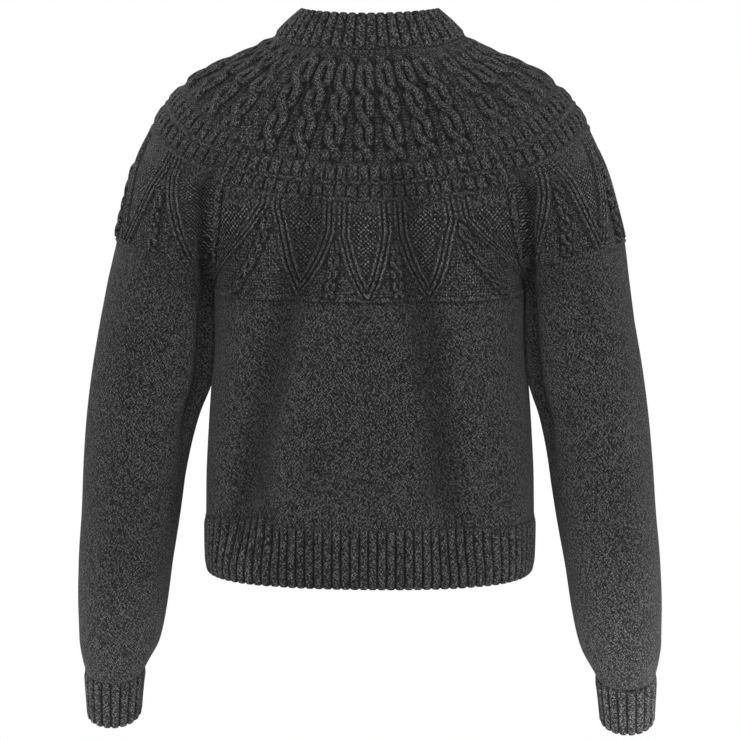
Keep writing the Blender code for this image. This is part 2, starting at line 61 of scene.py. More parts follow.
CABLE_FULLEST = 0.47
TRUNK_CORNER = 0.78
RAGLAN_STRIP = 0.0068
STRIP_RISE = 0.0020
STRIP_GROOVE = 0.0014
SEAM_RISE = 0.0006
SURROUNDINGS = 0.0030  # over which a height is compared with its own, for the painted shade in its hollows
# painted highlight: how much proud relief lightens the colour
PROUD_LIGHT = 0.32
OPEN_GROUND_LIGHT = 0.6  # part of its painted shade that the clear ground beside a cable is spared
# painted shade in creases: how much they darken the colour, in full at the depth below
CREASE_SHADE = 0.48
CREASE_FULL_SHADE_DEPTH = 0.0120
BACK_YOKE = (
    # level, mid_y, mid_drop, edge_x, edge_y, edge_drop, heading, mid_reach, edge_reach
    (0.000, 0.0720, 0.0120, 0.0575, 0.0565, 0.0100, 38, 0.45, 0.020),
    (0.095, 0.0830, 0.0450, 0.0780, 0.0700, 0.0327, 30, 0.45, 0.022),
    (0.173, 0.0900, 0.0620, 0.0923, 0.0800, 0.0492, 24, 0.45, 0.025),
    (0.287, 0.0980, 0.0910, 0.1104, 0.0900, 0.0776, 18, 0.45, 0.030),
    (0.400, 0.1030, 0.1190, 0.1273, 0.0940, 0.1080, 15, 0.48, 0.035),
    (0.460, 0.1050, 0.1360, 0.1356, 0.0930, 0.1245, 16, 0.50, 0.038),
    (0.575, 0.1070, 0.1640, 0.1464, 0.0830, 0.1560, 26, 0.58, 0.042),
    (0.685, 0.1080, 0.1900, 0.1487, 0.0680, 0.1860, 45, 0.66, 0.050),
    (0.810, 0.1070, 0.2180, 0.1515, 0.0450, 0.2160, 68, 0.72, 0.062),
    (1.000, 0.1040, 0.2540, 0.1548, 0.0000, 0.2515, 90, 0.78, 0.080),
)
FRONT_YOKE = (
    (0.000, 0.0690, 0.0560, 0.0600, 0.0520, 0.0340, 38, 0.45, 0.020),
    (0.095, 0.0840, 0.0780, 0.0775, 0.0680, 0.0550, 30, 0.45, 0.022),
    (0.173, 0.0940, 0.0960, 0.0905, 0.0800, 0.0720, 26, 0.45, 0.026),
    (0.287, 0.1070, 0.1210, 0.1070, 0.0920, 0.0960, 22, 0.45, 0.032),
    (0.400, 0.1160, 0.1470, 0.1225, 0.0990, 0.1210, 20, 0.48, 0.038),
    (0.460, 0.1190, 0.1600, 0.1300, 0.1000, 0.1350, 21, 0.50, 0.042),
    (0.575, 0.1230, 0.1840, 0.1415, 0.0940, 0.1600, 30, 0.58, 0.050),
    (0.685, 0.1250, 0.2060, 0.1475, 0.0800, 0.1840, 47, 0.66, 0.060),
    (0.810, 0.1260, 0.2290, 0.1515, 0.0550, 0.2150, 68, 0.72, 0.075),
    (1.000, 0.1260, 0.2620, 0.1548, 0.0000, 0.2515, 90, 0.78, 0.098),
)
TRUNK = (
    # level, half_width, side_drop, back_y, back_drop, front_y, front_drop
    (1.00, 0.1548, 0.2515, 0.1040, 0.2540, 0.1260, 0.2620),
    (1.25, 0.1550, 0.3050, 0.1015, 0.3075, 0.1235, 0.3120),
    (1.45, 0.1588, 0.3470, 0.0995, 0.3490, 0.1210, 0.3520),
    (1.65, 0.1618, 0.3900, 0.0985, 0.3910, 0.1190, 0.3930),
    (1.85, 0.1643, 0.4400, 0.1005, 0.4410, 0.1180, 0.4420),
    (2.00, 0.1648, 0.4770, 0.1030, 0.4770, 0.1180, 0.4780),
    (2.80, 0.1641, 0.5190, 0.1055, 0.5225, 0.1190, 0.5205),
    (3.00, 0.1625, 0.5290, 0.1040, 0.5335, 0.1175, 0.5310),
)
BACK_PATTERN = {
    "cables": 7,
    "cable_rise": CABLE_RISE,
    "first_cable": 0.95,
    "cables_end": 0.400,
    "bars": (0.405, 0.465, 0.472, 0.528),
    "bar_count": 25,
    "bands": (0.535, 0.985),
    # each bundle of six ribs: the level and share where it parts, and the shares where its arms end
    "bundles": (
        (0.576, 0.198, 0.008, 0.355), (0.671, 0.416, 0.333, 0.510),
        (0.671, 0.592, 0.508, 0.654), (0.621, 0.800, 0.645, 1.030),
    ),
}


def at_level(table, level):
    """The table's other columns at a level, on a smooth curve that never swings past its rows."""
    rows = np.array(table, dtype=float)
    keys = rows[:, 0]
    spans = np.diff(keys)[:, None]
    steps = np.diff(rows, axis=0) / spans
    same_way = steps[:-1] * steps[1:] > 0
    before, after = (np.where(same_way, step, 1) for step in (steps[:-1], steps[1:]))
    near, far = 2 * spans[1:] + spans[:-1], spans[1:] + 2 * spans[:-1]
    mean = np.where(same_way, (near + far) / (near / before + far / after), 0)
    slopes = np.concatenate((steps[:1], mean, steps[-1:]))
    i = int(np.clip(np.searchsorted(keys, level) - 1, 0, len(keys) - 2))
    span = keys[i + 1] - keys[i]
    f = (level - keys[i]) / span
    start = rows[i] * (2 * f**3 - 3 * f**2 + 1) + slopes[i] * span * (f**3 - 2 * f**2 + f)
    end = rows[i + 1] * (3 * f**2 - 2 * f**3) + slopes[i + 1] * span * (f**3 - f**2)
    return (start + end)[1:]


def curve(a, b, c, d, steps=160):
    """Points of a cubic Bezier curve."""
    t = np.linspace(0, 1, steps + 1)[:, None]
    a, b, c, d = (np.array(p, dtype=float) for p in (a, b, c, d))
    return (1 - t) ** 3 * a + 3 * (1 - t) ** 2 * t * b + 3 * (1 - t) * t**2 * c + t**3 * d


def chain(*curves):
    """Curves that follow each other, as one."""
    return np.concatenate([curves[0]] + [c[1:] for c in curves[1:]])


def mirrored(points):
    """The same run of points on the other side of the body, in the opposite order."""
    return (points * (-1, 1, 1))[::-1]


def ramp(value, start, end):
    """0 up to the start and 1 from the end."""
    return np.clip((value - start) / (end - start), 0, 1)


def soft(value, start, end):
    """The same with a soft beginning and end."""
    part = ramp(value, start, end)
    return part * part * (3 - 2 * part)


def underarm_gap(level):
    """Half the clearance between trunk and sleeve, which opens as the raglan seam nears the underarm."""
    return (UNDERARM_GAP - SEAM) / 2 * ramp(level, 0.75, 1.0)


def trunk_row(level, side):
    """A row of the back (side -1, from -X to +X) or of the front (side +1, from +X to -X)."""
    if level <= 1:
        columns = at_level(BACK_YOKE if side < 0 else FRONT_YOKE, level)
        mid_y, mid_drop, edge_x, edge_y, edge_drop, heading, mid_reach, edge_reach = columns
    else:
        edge_x, edge_drop, *depths = at_level(TRUNK, level)
        mid_y, mid_drop = depths[:2] if side < 0 else depths[2:]
        edge_y, heading, mid_reach, edge_reach = 0, 90, TRUNK_CORNER, TRUNK_CORNER * mid_y
    edge_x -= underarm_gap(level)
    turn = math.radians(heading)
    middle = np.array((0, side * mid_y, -mid_drop))
    edge = np.array((edge_x, side * edge_y, -edge_drop))
    toward_edge = np.array((math.cos(turn), -side * math.sin(turn), 0))
    half = curve(middle, middle + (mid_reach * edge_x, 0, 0), edge - edge_reach * toward_edge, edge)
    row = chain(mirrored(half), half)
    return row if side < 0 else row[::-1]


def laid(row, levels, shares, inset=0.0):
    """Points of a knitted surface: one line of them along each row, evenly spread."""
    lines = []
    for level in levels:
        line = row(level)
        length = np.concatenate(([0], np.cumsum(np.linalg.norm(np.diff(line, axis=0), axis=1))))
        at = inset + shares * (length[-1] - 2 * inset)
        lines.append(np.stack([np.interp(at, length, line[:, axis]) for axis in range(3)], axis=1))
    return np.array(lines)


def pulled(sheet, levels, shares, pull, row, length):
    """The same sheet where a seam pulls the cloth: pull gives each point the level and the shift
    along the row that it is taken from."""
    if pull is None:
        return sheet(levels)
    wanted, sway = pull(levels[:, None] + 0 * shares[None, :], shares[None, :] + 0 * levels[:, None])
    fine = np.linspace(wanted.min() - 1e-4, wanted.max() + 1e-4, 2 * len(levels) + 2)
    rows = sheet(fine)
    place = (wanted - fine[0]) / (fine[1] - fine[0])
    above = np.clip(place.astype(int), 0, len(fine) - 2)
    across = (shares[None, :] + sway / length) * (len(shares) - 1)
    left = np.clip(across.astype(int), 0, len(shares) - 2)
    down, along = (place - above)[..., None], (across - left)[..., None]
    upper = rows[above, left] * (1 - along) + rows[above, left + 1] * along
    lower = rows[above + 1, left] * (1 - along) + rows[above + 1, left + 1] * along
    return upper * (1 - down) + lower * down


def facing(row, levels, shares, span, ring, step=0.003):
    """Outward directions at those points."""
    ahead, behind = shares + step, shares - step
    if ring:
        ahead, behind = ahead % 1, behind % 1
    else:
        ahead, behind = np.minimum(ahead, 1), np.maximum(behind, 0)
    along = laid(row, levels, ahead) - laid(row, levels, behind)
    below = laid(row, np.minimum(levels + step, span[1]), shares)
    above = laid(row, np.maximum(levels - step, span[0]), shares)
    out = np.cross(below - above, along)
    return out / np.linalg.norm(out, axis=2, keepdims=True)


def zip_up(mesh, first, second):
    """Triangles between two runs of (place, vertex), kept even by their places."""
    i = j = 0
    while i + 1 < len(first) or j + 1 < len(second):
        if j + 1 == len(second) or (i + 1 < len(first) and first[i + 1][0] <= second[j + 1][0]):
            mesh.faces.new((first[i][1], first[i + 1][1], second[j][1]))
            i += 1
        else:
            mesh.faces.new((first[i][1], second[j + 1][1], second[j][1]))
            j += 1


def knitted(
    name, node, row, zones, lining, relief, drape,
    open_edge=None, ring=False, follow=0.0, pull=None,
):
    """A closed knitted wall. Zones are (levels, columns) of the outside, from the top down, and the
    lining is the same for the inside. An open edge is rounded over, and a seam's edge is flat."""
    span = (zones[0][0][0], zones[-1][0][-1])
    fine = np.linspace(span[0], span[1], 60)
    middle = laid(row, fine, np.array((0.5,)))[:, 0]
    down = np.concatenate(([0], np.cumsum(np.linalg.norm(np.diff(middle, axis=0), axis=1))))
    sheets = []

    def sheet(levels, columns, offset, inside=False):
        shares = np.linspace(0, 1, columns)
        level, share = levels[:, None], shares[None, :]
        rows = laid(row, levels, np.linspace(0, 1, 200))
        length = np.linalg.norm(np.diff(rows, axis=1), axis=2).sum(axis=1)
        mean = length.mean()
        base = pulled(lambda at: laid(row, at, shares), levels, shares, pull, row, mean)
        reach = (0.0, 3.0) if pull else span
        out = pulled(lambda at: facing(row, at, shares, reach, ring), levels, shares, pull, row, mean)
        height, across, marks = relief(level, share, length[:, None])
        deep = down[-1] / (span[1] - span[0]) * abs(levels[-1] - levels[0])
        spacing = (deep / len(levels), mean / columns)
        # painted shade and highlight: the colour darkens where the relief lies below its surroundings or in a
        # narrow hollow, and lightens on proud parts
        around = evened(height, [max(1, round(SURROUNDINGS / max(gap, 1e-4))) for gap in spacing])
        close = evened(height, (1, 1)) - height
        sunk = soft(around - height, -0.0002, 0.0013) * (1 - OPEN_GROUND_LIGHT * marks.pop("open"))
        proud = soft(height - around, 0.0, 0.0012) * (1 - 0.6 * marks["ribbed"])
        marks["hollow"] = np.maximum(sunk, soft(close, 0.0001, 0.0006)) - PROUD_LIGHT * proud
        # painted shade in creases: the colour darkens as the drape sinks the cloth in, down the troughs of back
        # and front and in the sleeve's dip beside the body
        creased = drape(base, level, share)
        shade = CREASE_SHADE * soft(-creased, 0.0, CREASE_FULL_SHADE_DEPTH)
        marks["hollow"] = marks["hollow"] + shade * (1 - np.maximum(marks["hollow"], 0))
        if inside:
            height = height * follow
            marks = {mark: 0 * values for mark, values in marks.items()}
            marks["purl"] = 1 + marks["purl"]
        along, outward = offset(height)
        spots = base + out * (outward + creased)[..., None]
        if np.any(along):
            spots = spots + edge_way(row, levels[0], shares, span)[None] * along[..., None]
        v = np.interp(levels, fine, down)[:, None] + 0 * share
        marks = {mark: (values + 0 * v)[:, ::-1] for mark, values in marks.items()}
        places = np.stack((across + 0 * v, v + along), axis=2)[:, ::-1]
        sheets.append((levels, shares, spots[:, ::-1], places, marks))

    def rim(level, columns):
        angles = np.radians((30, 60, 90, 120, 150))

        def turned(height):
            radius = (height + WALL) / 2
            return radius * np.sin(angles)[:, None], (height - WALL) / 2 + radius * np.cos(angles)[:, None]

        return np.full(len(angles), level), columns, turned

    def flat(height):
        return 0 * height, height

    def lined(height):
        return 0 * height, height - WALL

    top, bottom = open_edge == "top", open_edge == "bottom"
    if top:
        levels, columns, turned = rim(span[0], zones[0][1])
        sheet(levels, columns, lambda height: tuple(part[::-1] for part in turned(height)))
    for levels, columns in zones:
        sheet(levels, columns, flat)
    if bottom:
        sheet(*rim(span[1], zones[-1][1]))
    for levels, columns in lining[::-1]:
        sheet(levels[::-1], columns, lined, inside=True)

    bpy.ops.object.select_all(action="DESELECT")
    for number, (levels, shares, *_) in enumerate(sheets):
        bpy.ops.mesh.primitive_grid_add(
            x_subdivisions=len(shares) - 1, y_subdivisions=len(levels) - 1, calc_uvs=False
        )
        if number == 0:
            piece = bpy.context.object
            bpy.ops.object.mode_set(mode="EDIT")
    bpy.ops.object.mode_set(mode="OBJECT")
    piece.name = piece.data.name = name
    spots = np.concatenate([sheet[2].reshape(-1, 3) for sheet in sheets])
    piece.data.vertices.foreach_set("co", spots.ravel())

    mesh = bmesh.new()
    mesh.from_mesh(piece.data)
    mesh.verts.ensure_lookup_table()
    count, runs, outer, inner = 0, [], [[], []], [[], []]
    for levels, shares, *_ in sheets:
        wide = len(shares)
        lines = [[mesh.verts[count + r * wide + c] for c in range(wide)] for r in range(len(levels))]
        count += len(levels) * wide
        places = list(shares)
        runs.append((list(zip(places, lines[0])), list(zip(places, lines[-1]))))
        falling = len(runs) > len(sheets) - len(lining)
        for end in (0, -1):
            (inner if falling else outer)[end] += [(level, line[end]) for level, line in zip(levels, lines)]
    for (_, last), (first, _) in zip(runs, runs[1:] + runs[:1]):
        zip_up(mesh, last, first)
    if not ring:
        zip_up(mesh, outer[0], inner[0][::-1])
        zip_up(mesh, inner[-1][::-1], outer[-1])
    mesh.normal_update()
    if mesh.calc_volume(signed=True) < 0:
        bmesh.ops.reverse_faces(mesh, faces=mesh.faces)
    mesh.to_mesh(piece.data)
    mesh.free()

    vertex = np.empty(len(piece.data.loops), dtype=np.int32)
    piece.data.loops.foreach_get("vertex_index", vertex)
    places = np.concatenate([sheet[3].reshape(-1, 2) for sheet in sheets])
    piece.data.uv_layers.new(name="knit").uv.foreach_set("vector", places[vertex].ravel())
    for mark in ("purl", "hollow", "seed", "ribbed"):
        values = np.concatenate([sheet[4][mark].ravel() for sheet in sheets]).astype(np.float32)
        piece.data.attributes.new(mark, "FLOAT", "POINT").data.foreach_set("value", values)
    if ring:
        bpy.ops.object.mode_set(mode="EDIT")
        bpy.ops.mesh.select_all(action="SELECT")
        bpy.ops.mesh.remove_doubles(threshold=1e-6)
        bpy.ops.object.mode_set(mode="OBJECT")
    bpy.ops.object.shade_smooth()
    piece.data.materials.append(heather_wool)
    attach(piece, "root")
    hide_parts(node)
    return piece


def evened(height, reach):
    """Heights averaged over their surroundings, so many rows and columns each way."""
    for axis, steps in enumerate(reach):
        for _ in range(2):
            margins = [(steps + 1, steps) if a == axis else (0, 0) for a in (0, 1)]
            padded = np.pad(height, margins, mode="edge")
            total = np.cumsum(padded, axis=axis)
            size = 2 * steps + 1
            if axis == 0:
                height = (total[size:] - total[:-size]) / size
            else:
                height = (total[:, size:] - total[:, :-size]) / size
    return height


def edge_way(row, level, shares, span, step=0.01):
    """The direction in which the cloth runs off its open edge."""
    into = np.clip(level + np.sign(sum(span) / 2 - level) * step, *span)
    ends = laid(row, np.array((level, into)), shares)
    way = ends[0] - ends[1]
    return way / np.linalg.norm(way, axis=1, keepdims=True)


def rope(across, turns, lean):
    """Height of a two-strand cable, 0 to 1, and the middle of the strand on top. It crosses once a
    turn, and lean is its half width over a turn's length."""
    heights, middles = [], []
    for strand in (0, 1):
        swing = np.pi * (turns + strand)
        swung = 1.3 * np.cos(swing)
        middle = -0.53 * np.clip(swung, -1, 1)
        slant = np.where(np.abs(swung) < 1, 0.53 * 1.3 * np.pi * lean * np.abs(np.sin(swing)), 0)
        width = 0.47 * np.sqrt(1 + slant**2)
        lift = 0.80 + np.where(np.sin(swing) > 0, 0.20, 0.38) * np.sin(swing)
        heights.append(lift * np.sqrt(np.maximum(0, 1 - ((across - middle) / width) ** 2)))
        middles.append(middle + 0 * across)
    return np.maximum(*heights), np.where(heights[1] > heights[0], middles[1], middles[0])


def round_bars(pattern, share, level):
    """Two rows of upright bars with flat rounded tops."""
    top, middle_1, middle_2, end = pattern["bars"]
    off = np.abs(share * pattern["bar_count"] % 1 - 0.5) * 2
    plateau = 1 - soft(off, 0.46, 0.96)

    def one_row(start, finish):
        begun = soft(level, start - 0.004, start + 0.018)
        return begun * (1 - soft(level, finish - 0.018, finish + 0.004))

    return plateau * (one_row(top, middle_1) + one_row(middle_2, end))


def yoke_relief(pattern, strip, depth):
    """Heights, stitch columns and marks of a piece that starts in the yoke, depth metres deep."""
    bars_top, bars_middle_1, bars_middle_2, bars_end = pattern["bars"]
    bands_top, bands_end = pattern["bands"]

    def relief(level, share, length):
        place = share * length
        edge = np.minimum(share, 1 - share) * length
        across = (share - 0.5) * length
        none = 0 * edge
        # cables, with a ladder of purl between them
        space = length / (pattern["cables"] - 1 + 2 * pattern["first_cable"])
        nearest = place / space - pattern["first_cable"]
        number = np.clip(np.round(nearest), 0, pattern["cables"] - 1).astype(int)
        half = np.minimum(CABLE_HALF_WIDTH, CABLE_FULLEST * space)
        off = (nearest - number) * space / half
        cable, strand = rope(off, level * depth / CABLE_TURN + 0.24, CABLE_HALF_WIDTH / CABLE_TURN)
        end = 1 - soft(level, pattern["cables_end"] - 0.022, pattern["cables_end"])
        rise = pattern["cable_rise"] * cable * end * soft(level, 0.0, 0.06)
        cabled = level < pattern["cables_end"]
        purl = np.where(cabled & (cable < 0.08), 1.0, none)
        clear = np.where(cabled, soft(np.abs(off), 1.05, 1.40), none)
        across = np.where(cabled, (off - strand) * half, across)
        # two rows of bars, and the ridges over, between and under them
        rise = rise + BAR_RISE * round_bars(pattern, share, level)
        for at in ((bars_middle_1 + bars_middle_2) / 2, (bars_end + bands_top) / 2, bands_end + 0.006):
            rise = np.maximum(rise, RIDGE_RISE * np.exp(-(((level - at) / 0.007) ** 2)))
        # bundles of slanting ribs that part into two arms, with a cord under each parting
        width = 3 * RIB_PITCH
        arms = []
        for parts_at, parting, *ends in pattern["bundles"]:
            slant = ramp(level, parts_at, bands_end)
            for side, tip in zip((-1, 1), ends):
                start = parting * length + side * width / 2
                arms.append(start + (tip * length - start) * slant)
        lines, ribbed, covered = none, none, none
        for n, arm in enumerate(arms):
            q = place - arm
            left = (arms[n - 1] + arm) / 2 if n and n % 2 == 0 else arm - width / 2
            right = (arm + arms[n + 1]) / 2 if n % 2 and n + 1 < len(arms) else arm + width / 2
            on = (np.abs(q) < width / 2) & (place > left) & (place < right)
            lines = np.where(on, np.abs(np.cos(np.pi * q / RIB_PITCH)) ** 0.7, lines)
            ribbed = np.where(on, 1.0, ribbed)
            across = np.where(on & (level > bands_top) & (level < bands_end), q, across)
        for n, (parts_at, *_) in enumerate(pattern["bundles"]):
            left, right = arms[2 * n], arms[2 * n + 1]
            room = (right - left - width) / 2
            half = np.clip(np.minimum(CORD_HALF_WIDTH, room), 1e-4, None)
            off = (place - (left + right) / 2) / half
            cord, strand = rope(off, (level - parts_at) * depth / CORD_TURN, CORD_HALF_WIDTH / CORD_TURN)
            under = (place > left + width / 2) & (place < right - width / 2)
            under = under & (level > parts_at) & (level < bands_end)
            on = under & (room > 0.001) & (np.abs(off) < 1)
            lines = np.where(on, cord * CORD_RISE / BAND_RISE * ramp(half, 0.001, 0.004), lines)
            across = np.where(on, (off - strand) * half, across)
            purl = np.where(under & ~(on & (cord > 0.1)), 1.0, purl)
            clear = np.where(under, soft(np.abs(off), 1.15, 1.60), clear)
            covered = np.where(under, 1.0, covered)
        banded = soft(level, bands_top - 0.002, bands_top + 0.006)
        banded = banded * (1 - soft(level, bands_end - 0.010, bands_end))
        rise = rise + lines * BAND_RISE * banded * (0.55 + 0.45 * soft(level, bands_top, bands_top + 0.07))
        seeded = banded * (1 - np.maximum(covered, ribbed))
        seeded = seeded * soft(level, bands_top + 0.045, bands_top + 0.065)
        # an edge strip beside the raglan seam, and the seam itself
        rise = rise * soft(edge, 0.0, 0.004 + 0.004 * ramp(level, 0.75, 1.0))
        ribbed = ribbed * banded * (0.6 + 0.4 * soft(level, bands_top, bands_top + 0.07))
        if strip:
            raglan = soft(level, 0.36, 0.42) * (1 - soft(level, 0.985, 1.0))
            beside = STRIP_RISE * soft(edge, 0.0, 0.0016) * (1 - soft(edge, 0.0055, 0.0070))
            groove = STRIP_GROOVE * np.exp(-(((edge - 0.0082) / 0.0013) ** 2))
            in_strip = edge < RAGLAN_STRIP
            rise = np.where(in_strip, rise * (1 - raglan), rise) + raglan * (beside - groove)
            ribbed, seeded = (np.where(in_strip, part * (1 - raglan), part) for part in (ribbed, seeded))
        rise = rise + SEAM_RISE * np.exp(-(((edge - 0.0022) / 0.0012) ** 2))
        clear = np.maximum(clear, 0.5 * banded)
        return rise, across, {"purl": purl, "seed": seeded, "ribbed": ribbed, "open": clear}

    return relief


def add_group(name, inputs, outputs):
    """An empty shader group with its sockets."""
    group = bpy.data.node_groups.new(name, "ShaderNodeTree")
    for socket, kind, value in inputs:
        made = group.interface.new_socket(socket, in_out="INPUT", socket_type=kind)
        if value is not None:
            made.default_value = value
    for socket, kind in outputs:
        group.interface.new_socket(socket, in_out="OUTPUT", socket_type=kind)
    return group, group.nodes.new("NodeGroupInput").outputs, group.nodes.new("NodeGroupOutput").inputs


def maths(tree, operation, *values, clamp=False):
    """A Math node's result."""
    node = tree.nodes.new("ShaderNodeMath")
    node.operation, node.use_clamp = operation, clamp
    for socket, value in zip(node.inputs, values):
        if isinstance(value, (int, float)):
            socket.default_value = value
        else:
            tree.links.new(value, socket)
    return node.outputs[0]


stitches, given, made = add_group(
    "knitted stitches",
    (("Place", "NodeSocketVector", None), ("Wale", "NodeSocketFloat", WALE),
     ("Course", "NodeSocketFloat", COURSE), ("Purl", "NodeSocketFloat", 0.0),
     ("Seed", "NodeSocketFloat", 0.0), ("Ribbed", "NodeSocketFloat", 0.0)),
    (("Height", "NodeSocketFloat"), ("Tone", "NodeSocketFloat")),
)
apart_node = stitches.nodes.new("ShaderNodeSeparateXYZ")
stitches.links.new(given["Place"], apart_node.inputs[0])
wale = maths(stitches, "DIVIDE", apart_node.outputs[0], given["Wale"])
course = maths(stitches, "DIVIDE", apart_node.outputs[1], given["Course"])
leg = maths(stitches, "MULTIPLY", wale, 2.0)
leg_part = maths(stitches, "FRACT", leg)
lean = maths(stitches, "MULTIPLY", maths(stitches, "ABSOLUTE", maths(
    stitches, "SUBTRACT", maths(stitches, "FRACT", wale), 0.5)), 1.4)
climb = maths(stitches, "ADD", course, lean)
leg_arch = maths(stitches, "SINE", maths(stitches, "MULTIPLY", leg_part, math.pi))
leg_round = maths(stitches, "POWER", leg_arch, 0.5)
loop_round = maths(stitches, "POWER", maths(stitches, "SINE", maths(
    stitches, "MULTIPLY", maths(stitches, "FRACT", climb), math.pi)), 0.6)
knit_height = maths(stitches, "MULTIPLY", maths(stitches, "MULTIPLY_ADD", leg_round, 0.65, 0.2), maths(
    stitches, "MULTIPLY_ADD", loop_round, 0.45, 0.5))
bump_round = maths(stitches, "POWER", maths(stitches, "SINE", maths(
    stitches, "MULTIPLY", maths(stitches, "FRACT", maths(stitches, "MULTIPLY", course, 0.7)), math.pi)), 0.7)
bump_wave = maths(stitches, "MULTIPLY_ADD", maths(stitches, "SINE", maths(
    stitches, "MULTIPLY", wale, 2 * math.pi)), 0.3, 0.7)
purl_height = maths(stitches, "MULTIPLY", bump_round, bump_wave)


def waves(part, pitch):
    """A sine wave across a coordinate, once up and down in twice the pitch."""
    return maths(stitches, "SINE", maths(stitches, "MULTIPLY", part, math.pi / pitch))


def mixed(mask, first, second):
    """The first value where the mask is 0 and the second where it is 1."""
    blend = stitches.nodes.new("ShaderNodeMix")
    for socket, value in zip((blend.inputs[0], blend.inputs[2], blend.inputs[3]), (mask, first, second)):
        stitches.links.new(value, socket)
    return blend.outputs[0]


seed_bump = maths(
    stitches, "MULTIPLY",
    waves(apart_node.outputs[0], SEED_PITCH[0]), waves(apart_node.outputs[1], SEED_PITCH[1]),
)
seed_height = maths(stitches, "MULTIPLY_ADD", seed_bump, 1.6, 0.15, clamp=True)
seed_height = maths(stitches, "MULTIPLY", seed_height, 1.70)
rib_top = maths(stitches, "POWER", maths(stitches, "ABSOLUTE", maths(stitches, "COSINE", maths(
    stitches, "MULTIPLY", apart_node.outputs[0], math.pi / RIB_PITCH))), 1.3)
rib_height = maths(stitches, "MULTIPLY", rib_top, maths(stitches, "MULTIPLY_ADD", loop_round, 0.40, 0.70))
height = mixed(given["Purl"], knit_height, purl_height)
height = mixed(given["Seed"], height, seed_height)
height = mixed(given["Ribbed"], height, rib_height)
stitches.links.new(height, made["Height"])
tone = 0.25
half_loop = maths(stitches, "MULTIPLY", climb, 2.0)
for beside, above, sign in ((0, 0, 0.9), (1, 0, -0.25), (0, 1, -0.25), (1, 1, 0.1)):
    leg_name = stitches.nodes.new("ShaderNodeCombineXYZ")
    for axis, (part, step) in enumerate(((leg, beside), (half_loop, above))):
        whole = maths(stitches, "FLOOR", part)
        stitches.links.new(maths(stitches, "ADD", whole, step), leg_name.inputs[axis])
    by_chance = stitches.nodes.new("ShaderNodeTexWhiteNoise")
    by_chance.noise_dimensions = "2D"
    stitches.links.new(leg_name.outputs[0], by_chance.inputs["Vector"])
    tone = maths(stitches, "MULTIPLY_ADD", by_chance.outputs["Value"], sign, tone)
stitches.links.new(tone, made["Tone"])

# the yarn's random heather tones, with painted shade and highlight multiplied into its colour
melange, given, made = add_group(
    "melange yarn",
    (("Tone", "NodeSocketFloat", 0.5), ("Height", "NodeSocketFloat", 0.5),
     ("Hollow", "NodeSocketFloat", 0.0)),
    (("Colour", "NodeSocketColor"), ("Fibre", "NodeSocketFloat")),
)
where = melange.nodes.new("ShaderNodeTexCoord").outputs["Object"]


def noise(scale, detail, roughness=0.5):
    """Noise on the object, 0 to 1."""
    node = melange.nodes.new("ShaderNodeTexNoise")
    melange.links.new(where, node.inputs["Vector"])
    node.inputs["Scale"].default_value = scale
    node.inputs["Detail"].default_value = detail
    node.inputs["Roughness"].default_value = roughness
    return node.outputs["Fac"]


fibre = noise(900, 2, 0.8)
lot = maths(melange, "MULTIPLY", given["Tone"], 1.25)
lot = maths(melange, "ADD", lot, maths(melange, "MULTIPLY", fibre, 1.6))
lot = maths(melange, "ADD", lot, maths(melange, "MULTIPLY", noise(430, 1), 0.5))
lot = maths(melange, "ADD", lot, maths(melange, "MULTIPLY", noise(9, 2), 0.2))
lot = maths(melange, "SUBTRACT", lot, 1.345, clamp=True)
shades = melange.nodes.new("ShaderNodeValToRGB")
shades.color_ramp.elements[0].position, shades.color_ramp.elements[0].color = 0.08, (0.006, 0.006, 0.0065, 1)
shades.color_ramp.elements[1].position, shades.color_ramp.elements[1].color = 0.95, (0.270, 0.270, 0.268, 1)
for position, grey in ((0.42, 0.030), (0.68, 0.082)):
    shades.color_ramp.elements.new(position).color = (grey, grey, grey * 1.01, 1)
melange.links.new(lot, shades.inputs[0])
# painted shade: the yarn's colour is multiplied down between the stitch loops by the stitch height, and further
# by the painted shading mark
painted_groove_shade = melange.nodes.new("ShaderNodeMix")
painted_groove_shade.data_type, painted_groove_shade.blend_type = "RGBA", "MULTIPLY"
painted_groove_shade.inputs[0].default_value = 1.0
melange.links.new(shades.outputs[0], painted_groove_shade.inputs["A"])
depth = maths(melange, "MULTIPLY_ADD", given["Height"], 0.80, 0.16)
depth = maths(melange, "MULTIPLY", depth, maths(melange, "MULTIPLY_ADD", given["Hollow"], -0.90, 1.0))
melange.links.new(depth, painted_groove_shade.inputs["B"])
melange.links.new(painted_groove_shade.outputs["Result"], made["Colour"])
melange.links.new(fibre, made["Fibre"])

heather_wool = bpy.data.materials.new("charcoal heather wool")
heather_wool.use_nodes = True
wool = heather_wool.node_tree
shader = wool.nodes["Principled BSDF"]
shader.inputs["Metallic"].default_value = 0.0
shader.inputs["IOR"].default_value = 1.4
shader.inputs["Sheen Weight"].default_value = 0.13
shader.inputs["Sheen Roughness"].default_value = 0.2
shader.inputs["Sheen Tint"].default_value = (0.8, 0.8, 0.82, 1)
knit_map = wool.nodes.new("ShaderNodeUVMap")
knit_map.uv_map = "knit"
marked = {}
for mark in ("purl", "hollow", "seed", "ribbed"):
    marks = wool.nodes.new("ShaderNodeAttribute")
    marks.attribute_name = mark
    marked[mark] = marks.outputs["Fac"]
stitched = wool.nodes.new("ShaderNodeGroup")
stitched.node_tree = stitches
wobble = wool.nodes.new("ShaderNodeTexNoise")
wobble.inputs["Scale"].default_value = 260
wobble.inputs["Detail"].default_value = 1
wool.links.new(wool.nodes.new("ShaderNodeTexCoord").outputs["Object"], wobble.inputs["Vector"])
uneven = wool.nodes.new("ShaderNodeVectorMath")
uneven.operation = "MULTIPLY_ADD"
wool.links.new(wobble.outputs["Color"], uneven.inputs[0])
wool.links.new(maths(wool, "MULTIPLY_ADD", marked["ribbed"], -0.0018, 0.0021), uneven.inputs[1])
